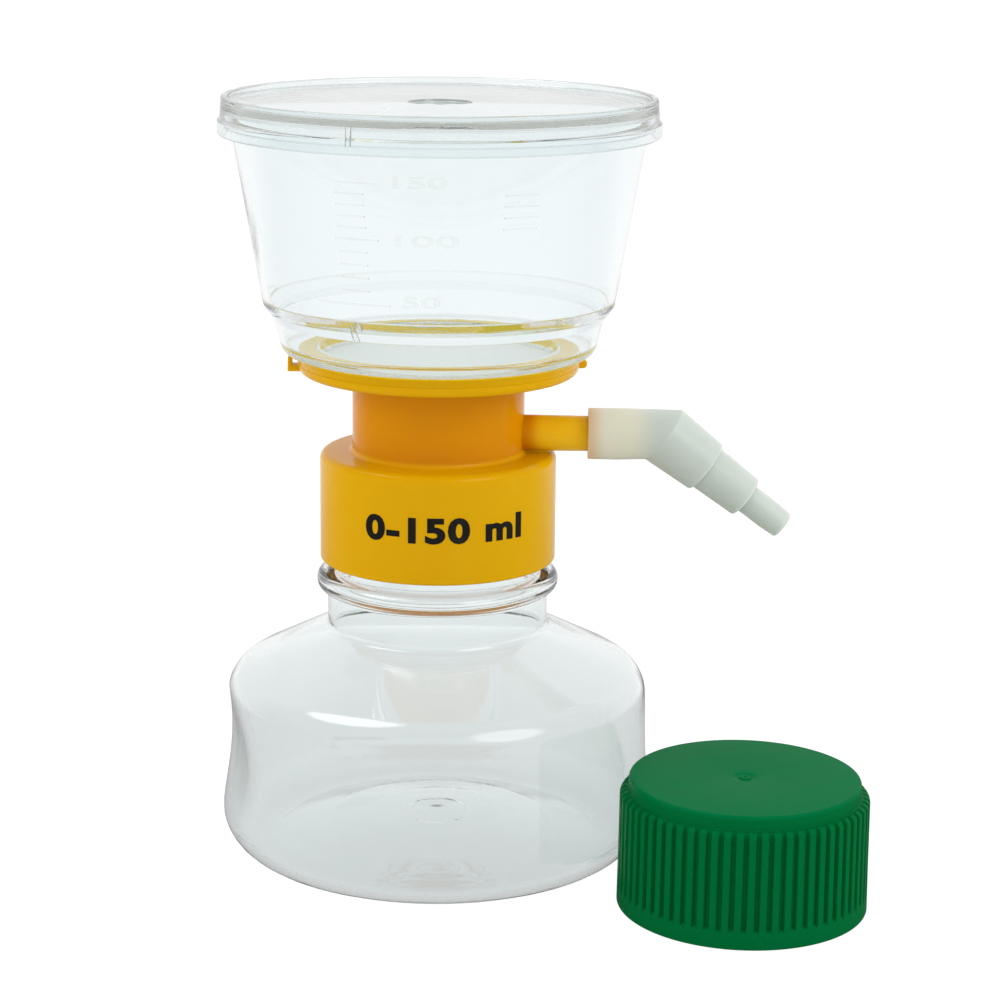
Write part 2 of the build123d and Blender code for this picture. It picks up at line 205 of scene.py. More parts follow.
def choose(tree, factor, other, level):
    # The level where the factor is 1, and the other value where it is 0.
    made = node(tree, "Mix", data_type="FLOAT")
    tree.links.new(factor, made.inputs["Factor"])
    for label, value in (("A", other), ("B", level)):
        if isinstance(value, float):
            made.inputs[label].default_value = value
        else:
            tree.links.new(value, made.inputs[label])
    return made.outputs["Result"]


def blend(tree, factor, other, colour):
    # The colour where the factor is 1, and the other colour where it is 0.
    made = node(tree, "Mix", data_type="RGBA")
    tree.links.new(factor, made.inputs["Factor"])
    for label, value in (("A", other), ("B", colour)):
        if isinstance(value, tuple):
            made.inputs[label].default_value = (*value, 1)
        else:
            tree.links.new(value, made.inputs[label])
    return made.outputs["Result"]


def split(tree, vector):
    # The X, Y and Z of a vector.
    made = node(tree, "SeparateXYZ")
    tree.links.new(vector, made.inputs["Vector"])
    return made.outputs


def noise(tree, vector, settings):
    made = node(tree, "TexNoise")
    for label, value in settings.items():
        made.inputs[label].default_value = value
    tree.links.new(vector, made.inputs["Vector"])
    return made


mouldSurfaceSizes = {
    "grain": {"Detail": 3}, "wave": {"Detail": 1}, "rub": {"Scale": 140, "Detail": 6, "Roughness": 0.65},
    "rubStretch": (1, 1, 0.35), "rubStarts": 0.52, "rubFull": 0.78,
}


def makeMouldSurface():
    # Fine texture and slow waves of a moulded surface, and the faint rub marks of handling.
    size = mouldSurfaceSizes
    group, start, end = nodeGroup(
        "mouldSurface",
        {"Grain Scale": 900.0, "Wave Scale": 60.0, "Base Roughness": 0.2, "Rubbed": 0.1, "Grain": 0.3},
        {"Roughness": "NodeSocketFloat", "Height": "NodeSocketFloat", "Mask": "NodeSocketFloat"})
    place = node(group, "TexCoord").outputs["Object"]
    grain = noise(group, place, size["grain"])
    wave = noise(group, place, size["wave"])
    stretch = node(group, "Mapping")
    stretch.inputs["Scale"].default_value = size["rubStretch"]
    group.links.new(place, stretch.inputs["Vector"])
    rub = noise(group, stretch.outputs["Vector"], size["rub"])
    group.links.new(start.outputs["Grain Scale"], grain.inputs["Scale"])
    group.links.new(start.outputs["Wave Scale"], wave.inputs["Scale"])
    marks = node(group, "MapRange")
    marks.inputs["From Min"].default_value = size["rubStarts"]
    marks.inputs["From Max"].default_value = size["rubFull"]
    group.links.new(rub.outputs["Fac"], marks.inputs["Value"])
    rubbed = mathNode(group, "MULTIPLY", marks.outputs["Result"], start.outputs["Rubbed"])
    group.links.new(mathNode(group, "ADD", start.outputs["Base Roughness"], rubbed), end.inputs["Roughness"])
    fine = mathNode(group, "MULTIPLY", grain.outputs["Fac"], start.outputs["Grain"])
    group.links.new(mathNode(group, "ADD", wave.outputs["Fac"], fine), end.inputs["Height"])
    group.links.new(marks.outputs["Result"], end.inputs["Mask"])
    return group


mouldSurface = makeMouldSurface()


def newMaterial(name):
    material = bpy.data.materials.new(name)
    material.use_nodes = True
    tree = material.node_tree
    return material, tree, tree.nodes["Principled BSDF"]


def addSurface(tree, shader, look):
    # Places the shared mould surface in a material: its colour, its roughness, and its height through a bump.
    surface = node(tree, "Group", node_tree=mouldSurface)
    for label, key in (("Grain Scale", "grainScale"), ("Wave Scale", "waveScale"), ("Rubbed", "rubbed"),
                       ("Base Roughness", "roughness"), ("Grain", "grain")):
        surface.inputs[label].default_value = look[key]
    bump = node(tree, "Bump")
    bump.inputs["Strength"].default_value = look["bump"]
    bump.inputs["Distance"].default_value = look["bumpDepth"] * mm
    tree.links.new(surface.outputs["Height"], bump.inputs["Height"])
    tree.links.new(surface.outputs["Roughness"], shader.inputs["Roughness"])
    tree.links.new(bump.outputs["Normal"], shader.inputs["Normal"])
    tint = blend(tree, surface.outputs["Mask"], look["colour"], look["rubbedColour"])
    tree.links.new(tint, shader.inputs["Base Color"])


def mixedShaders(tree, factor, first, second):
    # The material shows the second shader where the factor is 1.
    mix = node(tree, "MixShader")
    tree.links.new(factor, mix.inputs["Fac"])
    tree.links.new(first, mix.inputs[1])
    tree.links.new(second, mix.inputs[2])
    tree.links.new(mix.outputs["Shader"], tree.nodes["Material Output"].inputs["Surface"])


def clearPlastic(name, look):
    material, tree, shader = newMaterial(name)
    shader.inputs["Transmission Weight"].default_value = 1.0
    shader.inputs["IOR"].default_value = look["ior"]
    addSurface(tree, shader, look)
    absorption = node(tree, "VolumeAbsorption")
    absorption.inputs["Color"].default_value = (*look["depthColour"], 1)
    absorption.inputs["Density"].default_value = look["density"]
    tree.links.new(absorption.outputs["Volume"], tree.nodes["Material Output"].inputs["Volume"])
    # Lamps shine through, because a thin clear wall throws hardly any shadow
    path = node(tree, "LightPath")
    through = node(tree, "BsdfTransparent")
    through.inputs["Color"].default_value = (*look["shadowColour"], 1)
    mixedShaders(tree, path.outputs["Is Shadow Ray"], shader.outputs["BSDF"], through.outputs["BSDF"])
    return material


def zoneMask(tree, axis, start, end, reach=None):
    # 1 in a stretch of the piece along one axis, and out to a radius where one is given.
    place = node(tree, "TexCoord").outputs["Object"]
    along = split(tree, place)[axis]
    mask = mathNode(tree, "MULTIPLY", ramp(tree, along, start[0] * mm, start[1] * mm),
                    ramp(tree, along, end[0] * mm, end[1] * mm, 1.0, 0.0))
    if reach:
        flat = node(tree, "VectorMath", operation="MULTIPLY")
        flat.inputs[1].default_value = (1, 1, 0)
        tree.links.new(place, flat.inputs[0])
        length = node(tree, "VectorMath", operation="LENGTH")
        tree.links.new(flat.outputs["Vector"], length.inputs[0])
        within = ramp(tree, length.outputs["Value"], reach[0] * mm, reach[1] * mm, 1.0, 0.0)
        mask = mathNode(tree, "MULTIPLY", mask, within)
    return mask


def addZone(material, colour, *zone):
    # Blends to another colour in a stretch of the piece.
    tree = material.node_tree
    target = tree.nodes["Principled BSDF"].inputs["Base Color"]
    before = target.links[0].from_socket
    tree.links.new(blend(tree, zoneMask(tree, *zone), before, colour), target)


def addGlow(material, look):
    # A painted glow, as if light came through the wall of the plastic, inside the piece.
    tree = material.node_tree
    shader = tree.nodes["Principled BSDF"]
    glow = blend(tree, zoneMask(tree, *look["glowZone"]), (0, 0, 0), look["glowColour"])
    tree.links.new(glow, shader.inputs["Emission Color"])
    shader.inputs["Emission Strength"].default_value = look["glow"]


def solidPlastic(name, look):
    material, tree, shader = newMaterial(name)
    addSurface(tree, shader, look)
    shader.inputs["IOR"].default_value = look["ior"]
    shader.inputs["Specular IOR Level"].default_value = look["shine"]
    shader.inputs["Subsurface Weight"].default_value = look["depth"]
    shader.inputs["Subsurface Radius"].default_value = look["depthColour"]
    shader.inputs["Subsurface Scale"].default_value = look["depthScale"] * mm
    for key, *zone in look.get("zones", ()):
        addZone(material, look[key], *zone)
    if "glowZone" in look:
        addGlow(material, look)
    return material


clearLook = {
    "colour": (0.96, 0.992, 1.0), "rubbedColour": (0.945, 0.977, 0.985), "shadowColour": (0.95, 0.96, 0.96),
    "depthColour": (0.1, 0.2, 0.15), "density": 5.0, "ior": 1.56, "roughness": 0.012, "rubbed": 0.02,
    "grainScale": 1400.0, "waveScale": 55.0, "grain": 0.02, "bump": 0.25, "bumpDepth": 0.5,
}
lidLook = clearLook | {
    "colour": (0.905, 0.945, 0.955), "rubbedColour": (0.89, 0.93, 0.94),
    # painted shade: a dark grey for the gate's wall
    "depthColour": (0.2, 0.2, 0.1), "density": 8.0, "gateWallShade": (0.25, 0.28, 0.28),
}
bottleLook = clearLook | {
    "colour": (0.945, 0.98, 0.98), "rubbedColour": (0.93, 0.965, 0.965), "depthColour": (0.25, 0.22, 0.1),
}
markLook = clearLook | {"colour": (0.95, 0.955, 0.94), "roughness": 0.10, "ior": 1.30}
# A zone is a colour and an axis, where the colour starts and is full, and where it fades and is gone.
# A last pair is the radius at which it fades and is gone.
yellowLook = {
    # Besides the plain yellow, these colours paint shade on the neck under the plate, light on the arm and on
    # the plate's top band, and a glow inside the collar
    "colour": (0.70, 0.375, 0.0), "rubbedColour": (0.71, 0.39, 0.0), "deepColour": (0.66, 0.26, 0.0),
    "thinColour": (0.95, 0.68, 0.0), "armColour": (0.90, 0.53, 0.01), "glowColour": (1.0, 0.42, 0.03),
    "glow": 0.35, "ior": 1.5, "shine": 0.14, "roughness": 0.16, "rubbed": 0.10,
    "grainScale": 1500.0, "waveScale": 70.0, "grain": 0.10, "bump": 0.12, "bumpDepth": 0.3,
    "depth": 0.35, "depthColour": (1.0, 0.55, 0.05), "depthScale": 2.0,
    "zones": (
        # painted light: the arm and the band at its height are lighter, against the plate's shadow
        ("armColour", "Z", (84.9, 85.6), (92.5, 93.5)),
        # painted shade: the neck under the plate is a darker, deeper orange, where the plate shades it
        ("deepColour", "Z", (84.4, 86.5), (101.0, 102.5), (18.5, 22.0)),
        # painted light: the plate's top band is lighter and more lemon, as where light falls on it from above
        ("thinColour", "Z", (plateHeight - 0.9, plateHeight - 0.1), (107.0, 108.0))),
    # painted glow inside the collar
    "glowZone": ("Z", (52.0, 56.0), (83.0, 84.0), (22.9, 23.4)),
}
greenLook = {
    "colour": (0.0, 0.145, 0.042), "rubbedColour": (0.0, 0.155, 0.048), "sideColour": (0.0, 0.132, 0.033),
    "ior": 1.3, "shine": 0.03, "roughness": 0.33, "rubbed": 0.12,
    "grainScale": 1900.0, "waveScale": 90.0, "grain": 0.35, "bump": 0.3, "bumpDepth": 0.15,
    "depth": 0.0, "depthColour": (0.2, 1.0, 0.4), "depthScale": 0.5,
    # painted shade: the grooved side is darker than the top of the cap
    "zones": (("sideColour", "Z", (-2.0, -1.0), (25.6, 26.5)),),
}
milkyLook = {
    "colour": (0.58, 0.635, 0.585), "rubbedColour": (0.56, 0.615, 0.565), "deepColour": (0.77, 0.76, 0.63),
    "mouthColour": (0.72, 0.56, 0.36), "ior": 1.46, "shine": 0.4, "roughness": 0.36, "rubbed": 0.10,
    "grainScale": 1200.0, "waveScale": 110.0, "grain": 0.3, "bump": 0.25, "bumpDepth": 0.2,
    "depth": 0.9, "depthColour": (1.0, 0.95, 0.85), "depthScale": 2.0,
    "zones": (
        # a paler, warmer tint along the socket
        ("deepColour", "X", (20.0, 21.0), (39.0, 46.0)),
        ("mouthColour", "X", (20.0, 21.0), (31.0, 34.5))),
}
opaqueLook = {"depth": 0.0, "depthColour": (1.0, 1.0, 1.0), "depthScale": 0.5}
rubberLook = opaqueLook | {
    "colour": (0.62, 0.62, 0.60), "rubbedColour": (0.58, 0.58, 0.56), "ior": 1.45, "shine": 0.5,
    "roughness": 0.55, "rubbed": 0.15, "grainScale": 1000.0, "waveScale": 200.0, "grain": 0.4,
    "bump": 0.3, "bumpDepth": 0.1,
}
membraneLook = opaqueLook | {
    "colour": (0.96, 0.98, 0.94), "rubbedColour": (0.93, 0.95, 0.91), "ior": 1.4, "shine": 0.3,
    "roughness": 0.62, "rubbed": 0.10, "grainScale": 2600.0, "waveScale": 800.0, "grain": 0.8,
    "bump": 0.5, "bumpDepth": 0.08,
}
inkLook = opaqueLook | {
    "colour": (0.010, 0.009, 0.008), "rubbedColour": (0.03, 0.025, 0.015), "ior": 1.45, "shine": 0.3,
    "roughness": 0.42, "rubbed": 0.20, "grainScale": 2400.0, "waveScale": 500.0, "grain": 0.6,
    "bump": 0.3, "bumpDepth": 0.05,
}
clearBottle = clearPlastic("clearBottle", bottleLook)
clearFunnel = clearPlastic("clearFunnel", clearLook)
clearLid = clearPlastic("clearLid", lidLook)
raisedMark = clearPlastic("raisedMark", markLook)
yellowPlastic = solidPlastic("yellowPlastic", yellowLook)
greenPlastic = solidPlastic("greenPlastic", greenLook)
milkyPlastic = solidPlastic("milkyPlastic", milkyLook)
rubber = solidPlastic("rubber", rubberLook)
membranePaper = solidPlastic("membranePaper", membraneLook)
printInk = solidPlastic("printInk", inkLook)
print("materials made")


bottleSizes = {
    "wall": 1.3, "footRadius": 46.1, "lean": 3.65, "baseCorner": 9.7, "shoulderHeight": 37.7,
    "shoulderRound": 6.0, "shoulderAngle": 27.0, "neckRadius": 22.93, "neckRoot": 1.2,
    "standingRing": 35.0, "ringRound": 9.0, "pushUp": 5.6, "domeRound": 20,
    "domeRows": (15, 24), "innerDomeRows": (0, 7.5, 15, 24),
    # radius, height above the dome and rounding of the gate's mark and of the line round it
    "baseMarks": ((0, 0.06), (0.9, 0.04, 0.4), (1.8, 0, 0.6), (6.0, 0, 1.2), (7.0, -0.07, 1.2),
                  (8.0, 0, 1.2)),
    "beadHeight": 57.96, "beadRadius": 25.15, "beadThickness": 3.8, "beadRound": 1.7,
    "finishRadius": 21.0, "finishWall": 1.7,
    # inside, the neck narrows from so far below the bead's foot to so far below its top
    "boreStarts": 0.5, "boreFull": 0.2,
    "threadRadius": 22.1, "threadPitch": 4.0, "threadTurns": 1.75, "threadSteps": 160,
    "threadStart": 3.2, "threadSunk": 0.3, "threadFoot": 0.9, "threadCrest": 0.35,
    "gripDepth": 2.6, "gripRadius": 34.0, "gripHeight": 23.0, "gripReach": 17, "gripTurn": 14.5,
    "gripSoftness": 1.6, "rowsFrom": 5, "rowsTo": 45, "rowHeight": 0.6, "steps": 288,
}


def bottleLine(inset, neck, root):
    # Base, wall and shoulder as corners from the standing ring up to the neck's root.
    size = bottleSizes
    lean = tan(radians(size["lean"]))
    slope = tan(radians(size["shoulderAngle"]))
    shift = inset / cos(radians(size["lean"]))
    drop = inset / cos(radians(size["shoulderAngle"]))
    rise = size["shoulderHeight"]
    corner = rise - (drop - shift * slope) / (1 - lean * slope)
    edge = size["footRadius"] - lean * rise
    neckRoot = rise + (edge - neck) * slope - drop
    return [
        (size["standingRing"], inset, size["ringRound"]),
        (size["footRadius"] - lean * inset - shift, inset, size["baseCorner"] - inset),
        (size["footRadius"] - lean * corner - shift, corner, size["shoulderRound"] - inset),
        (neck, neckRoot, root),
    ]


def domeHeight(radius):
    # The base is domed up inside the ring that the bottle stands on.
    return bottleSizes["pushUp"] * (1 - (radius / bottleSizes["standingRing"]) ** 2)


def pressGrip(bm, inset):
    # Moves the wall in to the two hollows that a thumb and fingers hold, with a soft edge.
    size = bottleSizes
    outward = Vector((cos(radians(size["gripTurn"])), sin(radians(size["gripTurn"])), 0))
    wall = size["footRadius"] - size["gripHeight"] * tan(radians(size["lean"]))
    axisAway = wall - size["gripDepth"] + size["gripRadius"]
    reach = size["gripRadius"] + inset
    soft = size["gripSoftness"]
    for vert in bm.verts:
        up = vert.co.z / mm - size["gripHeight"]
        if abs(up) > size["gripReach"]:
            continue
        away = vert.co.dot(outward) / mm
        side = 1 if away > 0 else -1
        limit = axisAway - sqrt(reach ** 2 - up ** 2)
        over = abs(away) - limit
        if over < -soft:
            continue
        share = min(1.0, (over + soft) / (2 * soft))
        moved = over * share + soft * share * (1 - share)
        vert.co -= outward * side * moved * mm


def splitLine(bm, low, high, step):
    # Adds rows to the nearly upright edges of a profile between two heights.
    for edge in bm.edges[:]:
        heights = sorted(v.co.z / mm for v in edge.verts)
        if heights[0] >= low and heights[1] <= high and heights[1] - heights[0] > 2 * step:
            cuts = int((heights[1] - heights[0]) / step)
            bmesh.ops.subdivide_edges(bm, edges=[edge], cuts=cuts)


def makeThread(start):
    # A ridge that climbs the finish as it turns.
    size = bottleSizes
    root, crest = size["finishRadius"] - size["threadSunk"], size["threadRadius"]
    ridge = ((root, -size["threadFoot"]), (crest, -size["threadCrest"]),
             (crest, size["threadCrest"]), (root, size["threadFoot"]))
    thread = bmesh.new()
    thread.faces.new([thread.verts.new((r * mm, 0, (start + z) * mm)) for r, z in ridge])
    turns, steps = size["threadTurns"], size["threadSteps"]
    bmesh.ops.spin(thread, geom=thread.faces[:] + thread.edges[:] + thread.verts[:], cent=(0, 0, 0),
                   axis=(0, 0, 1), dvec=(0, 0, size["threadPitch"] * turns * mm / steps),
                   angle=2 * pi * turns, steps=steps, use_merge=False, use_duplicate=False)
    bmesh.ops.recalc_face_normals(thread, faces=thread.faces[:])
    return thread


def makeBottle():
    size = bottleSizes
    innerNeck = size["neckRadius"] - size["wall"]
    bore = size["finishRadius"] - size["finishWall"]
    low = size["beadHeight"] - size["beadThickness"] / 2
    high = size["beadHeight"] + size["beadThickness"] / 2
    lip = ((size["finishRadius"] + bore) / 2, mouthHeight)
    outer = wire(
        [(radius, domeHeight(radius) + lift, *rounding) for radius, lift, *rounding in size["baseMarks"]]
        + [(radius, domeHeight(radius), size["domeRound"]) for radius in size["domeRows"]]
        + bottleLine(0, size["neckRadius"], size["neckRoot"])
        + [(size["neckRadius"], low, 0.5), (size["beadRadius"], low, size["beadRound"]),
           (size["beadRadius"], high, size["beadRound"]), (size["finishRadius"], high, 0.6),
           (size["finishRadius"], mouthHeight, 0.5), lip])
    inner = wire(
        [(radius, domeHeight(radius) + size["wall"], size["domeRound"]) for radius in size["innerDomeRows"]]
        + bottleLine(size["wall"], innerNeck, size["neckRoot"] + size["wall"])
        + [(innerNeck, low - size["boreStarts"], 2.0), (bore, high - size["boreFull"], 2.0),
           (bore, mouthHeight, 0.5), lip])
    shells = []
    for line, inset in ((outer, 0), (inner, size["wall"])):
        splitLine(line, size["rowsFrom"], size["rowsTo"], size["rowHeight"])
        shell = spun(line, size["steps"])
        pressGrip(shell, inset)
        shells.append(shell)
    bm = joined(merged(joined(*shells)), makeThread(high + size["threadStart"]))
    piece("receiverBottle", bm, clearBottle, "bottle", ("receiver_bottle",))


makeBottle()
print("bottle made")


funnelSizes = {
    "wall": 1.3, "rimRadius": 42.3, "lean": 9.7, "flange": 1.0, "flangeThickness": 1.2, "ledgeHeight": 10.2,
    "ledgeWidth": 2.18, "ledgeDrop": 2.8, "footRadius": 31.95, "floorOpening": 23.0, "floorThickness": 2.1,
    "weld": 0.04, "openingSlope": 1.3, "innerRise": 1.35, "innerDrop": 2.1, "steps": 256,
}


def bowlRadius(height):
    return funnelSizes["rimRadius"] - (funnelRim - height) * tan(radians(funnelSizes["lean"]))


def makeFunnel():
    size = funnelSizes
    across = size["wall"] / cos(radians(size["lean"]))
    foot = plateHeight - size["weld"]  # the foot is welded into the plate by this much
    floorTop = plateHeight + size["floorThickness"]
    ledge = plateHeight + size["ledgeHeight"]
    under = ledge - size["ledgeDrop"]
    ledgeIn = bowlRadius(ledge) - size["ledgeWidth"]
    innerLedge = ledge + size["innerRise"]
    innerUnder = under + size["innerDrop"]
    innerEdge = bowlRadius(innerLedge) - across
    slope = (ledgeIn - size["footRadius"]) / (under - plateHeight)
    rimUnder = funnelRim - size["flangeThickness"]
    rimOut = size["rimRadius"] + size["flange"]
    line = wire([
        (size["floorOpening"], foot, 0.2), (size["footRadius"], foot, 2.4), (ledgeIn, under, 0.8),
        (bowlRadius(ledge), ledge, 2.0), (bowlRadius(rimUnder), rimUnder, 0.4), (rimOut, rimUnder, 0.3),
        (rimOut, funnelRim, 0.3), (size["rimRadius"] - across, funnelRim, 0.3), (innerEdge, innerLedge, 0.6),
        (innerEdge - size["ledgeWidth"], innerUnder, 0.9),
        (size["footRadius"] + slope * size["floorThickness"] - size["wall"], floorTop, 1.1),
        (size["floorOpening"] + size["openingSlope"], floorTop, 0.3)], closed=True)
    piece("funnelBowl", spun(line, size["steps"]), clearFunnel, "head", ("funnel",))


def wrapped(bm, radiusAt, bearing, height):
    # Lifts a flat piece and bends it round an upright wall: x runs along the wall and y is its depth inwards.
    bmesh.ops.translate(bm, vec=(0, 0, height * mm), verts=bm.verts[:])
    for vert in bm.verts:
        x, y, z = vert.co
        radius = radiusAt(z / mm) * mm - y
        turn = radians(bearing) + x / radius
        vert.co = (radius * cos(turn), radius * sin(turn), z)
    return bm


letterSizes = {
    "capitals": 0.729,  # height of a capital as a share of the type's size
    "curveSteps": 4, "longestEdge": 1.2, "rounds": 3, "mergeDistance": 0.001,
}


def lettering(text, height, depth, width, bold=0.0, spacing=1.0):
    # Flat raised text as wide as stated, its middle at the origin, standing in the XZ plane.
    size = letterSizes
    curve = bpy.data.curves.new("text", "FONT")
    curve.body = text
    curve.size = height / size["capitals"] * mm
    curve.extrude = depth / 2 * mm
    curve.offset = bold * mm
    curve.space_character = spacing
    curve.resolution_u = size["curveSteps"]
    curve.align_x = "CENTER"
    curve.align_y = "CENTER"
    holder = bpy.data.objects.new("text", curve)
    scene.collection.objects.link(holder)
    mesh = bpy.data.meshes.new_from_object(holder.evaluated_get(bpy.context.evaluated_depsgraph_get()))
    bm = bmesh.new()
    bm.from_mesh(mesh)
    bpy.data.objects.remove(holder)
    bpy.data.curves.remove(curve)
    bpy.data.meshes.remove(mesh)
    bmesh.ops.remove_doubles(bm, verts=bm.verts[:], dist=size["mergeDistance"] * mm)
    bmesh.ops.rotate(bm, cent=(0, 0, 0), matrix=Matrix.Rotation(pi / 2, 3, "X"), verts=bm.verts[:])
    bmesh.ops.triangulate(bm, faces=bm.faces[:])
    for _ in range(size["rounds"]):
        long = [e for e in bm.edges if e.calc_length() > size["longestEdge"] * mm]
        if long:
            bmesh.ops.subdivide_edges(bm, edges=long, cuts=1)
            bmesh.ops.triangulate(bm, faces=bm.faces[:])
    xs = [v.co.x for v in bm.verts]
    bmesh.ops.scale(bm, vec=(width * mm / (max(xs) - min(xs)), 1, 1), verts=bm.verts[:])
    xs = [v.co.x for v in bm.verts]
    zs = [v.co.z for v in bm.verts]
    middle = Vector(((max(xs) + min(xs)) / 2, 0, (max(zs) + min(zs)) / 2))
    bmesh.ops.translate(bm, vec=-middle, verts=bm.verts[:])
    return bm


# A long line is its volume, its height and the bearings that it runs between, and a number is the same
# with its text. The plain lines are a second scale without numbers.
scaleSizes = {
    "lineThickness": 0.32, "relief": 0.22, "lineStep": 0.8, "letterHeight": 2.35, "letterBold": 0.05,
    "longLines": ((50, 121.0, -126.4, -102.3), (100, 133.9, -118.0, -104.8), (150, 144.9, -116.1, -104.5)),
    "numbers": (("50", 121.9, -98.6, -87.2), ("100", 134.0, -100.0, -82.0), ("150", 145.3, -100.0, -85.6)),
    "shortLines": (-116.9, -108.4), "plainLines": (-69.5, -59.6), "plainStart": 100,
    "stepsBetween": 5, "bowlShare": 0.97,  # lines draw together as the bowl widens
}


def scaleLine(height, first, last):
    size = scaleSizes
    width = radians(last - first) * bowlRadius(height)
    bar = block(width, size["relief"] * 2, size["lineThickness"])
    long = [e for e in bar.edges if abs(e.verts[0].co.x - e.verts[1].co.x) > 0.5 * width * mm]
    bmesh.ops.subdivide_edges(bar, edges=long, cuts=max(1, int(width / size["lineStep"])), use_grid_fill=True)
    return wrapped(bar, bowlRadius, (first + last) / 2, height)


def makeGraduations():
    size = scaleSizes
    parts = [scaleLine(height, first, last) for _, height, first, last in size["longLines"]]
    for (low, lowHeight, *_), (_, highHeight, *_) in zip(size["longLines"], size["longLines"][1:]):
        for step in range(1, size["stepsBetween"]):
            share = step / size["stepsBetween"]
            height = lowHeight + (highHeight - lowHeight) * share ** size["bowlShare"]
            parts.append(scaleLine(height, *size["shortLines"]))
            if low >= size["plainStart"]:
                parts.append(scaleLine(height, *size["plainLines"]))
    for text, height, first, last in size["numbers"]:
        width = radians(last - first) * bowlRadius(height)
        word = lettering(text, size["letterHeight"], size["relief"] * 2, width, size["letterBold"])
        parts.append(wrapped(word, bowlRadius, (first + last) / 2, height))
    bm = joined(*parts)
    bmesh.ops.recalc_face_normals(bm, faces=bm.faces[:])
    piece("graduations", bm, raisedMark, "head", sharp=50)


makeFunnel()
makeGraduations()
print("funnel made")


lidSizes = {
    "clearance": 0.25, "wall": 1.2, "skirt": 2.86, "skirtStep": 0.4, "rimClearance": 0.3,
    "ringRadius": 43.92, "ringWidth": 1.42, "ringFlare": 0.28, "ringFoot": 0.3, "recess": 1.33, "plate": 1.3,
    "gateRadius": 6.5, "gateDepth": 0.5, "gateSlope": 0.05, "pipTop": 0.8, "pipFoot": 1.0, "pipHeight": 0.1,
    "gateShadeStarts": 0.02, "gateShadeFull": 0.1, "gateShadeReach": (0.3, 0.6),  # painted shade: a dark grey band on the gate's wall
    "steps": 256,
}


def skirtRadius():
    # Inside of the lid's skirt, which fits over the funnel's rim.
    return funnelSizes["rimRadius"] + funnelSizes["flange"] + lidSizes["clearance"]


def makeLid():
    size = lidSizes
    skirtIn = skirtRadius()
    skirtOut = skirtIn + size["wall"]
    skirtFoot = funnelRim - size["skirt"]
    ringIn = size["ringRadius"] - size["ringWidth"]
    ringFoot = funnelRim + size["ringFoot"]
    rim = funnelSizes["rimRadius"] + size["rimClearance"]
    recess = lidHeight - size["recess"]
    under = recess - size["plate"]
    gate = size["gateRadius"]
    gateFloor = recess - size["gateDepth"]
    line = wire([
        (0, gateFloor + size["pipHeight"]), (size["pipTop"], gateFloor + size["pipHeight"], 0.1),
        (size["pipFoot"], gateFloor, 0.1), (gate - size["gateSlope"], gateFloor, 0.12),
        (gate + size["gateSlope"], recess, 0.12), (ringIn, recess, 0.5), (ringIn, lidHeight, 0.45),
        (size["ringRadius"], lidHeight, 0.45), (size["ringRadius"] + size["ringFlare"], ringFoot, 0.3),
        (skirtOut, ringFoot - size["skirtStep"], 0.3), (skirtOut, skirtFoot, 0.45),
        (skirtIn, skirtFoot, 0.25), (skirtIn, funnelRim, 0.2), (rim, funnelRim, 0.3), (rim, under, 0.8),
        (0, under)])
    # Painted shade: the clear lid's gate wall gets a dark grey band.
    starts, full = size["gateShadeStarts"], size["gateShadeFull"]
    addZone(clearLid, lidLook["gateWallShade"], "Z", (gateFloor + starts, gateFloor + full),
            (recess - full, recess - starts), [gate + reach for reach in size["gateShadeReach"]])
    piece("lidCover", spun(line, size["steps"]), clearLid, "lid", ("lid",))


# Each mark starts inside its wall and stands out from it by one length at its foot and another at its top.
markSizes = {
    "width": 1.0, "rounding": 0.12,
    "funnelBearing": -115.3, "funnelSunk": 0.5, "funnelFoot": 1.05, "funnelTop": 0.35, "funnelHeight": 3.4,
    "lidBearing": -110.1, "lidSunk": 0.7, "lidFoot": 0.35, "lidTop": 0.1, "lidHeight": 3.7, "lidDrop": 1.23,
}


def makeMarks():
    # Two small moulding marks, on the funnel's ledge and on the lid's side.
    size = markSizes
    ledge = plateHeight + funnelSizes["ledgeHeight"]
    low = ledge - funnelSizes["ledgeDrop"]
    high = low + size["funnelHeight"]
    edge = bowlRadius(ledge)
    foot = edge - funnelSizes["ledgeWidth"]
    outline = ((foot - size["funnelSunk"], low), (foot + size["funnelFoot"], low),
               (edge + size["funnelTop"], high), (edge - size["funnelSunk"], high))
    mark = slab(outline, size["width"], size["rounding"], size["funnelBearing"])
    piece("funnelMark", mark, raisedMark, "head", sharp=50)
    skirt = skirtRadius() + lidSizes["wall"]
    low = funnelRim - size["lidDrop"]
    high = low + size["lidHeight"]
    outline = ((skirt - size["lidSunk"], low), (skirt + size["lidFoot"], low),
               (skirt + size["lidTop"], high), (skirt - size["lidSunk"], high))
    mark = slab(outline, size["width"], size["rounding"], size["lidBearing"])
    piece("lidMark", mark, raisedMark, "lid", sharp=50)


makeLid()
makeMarks()
print("lid made")


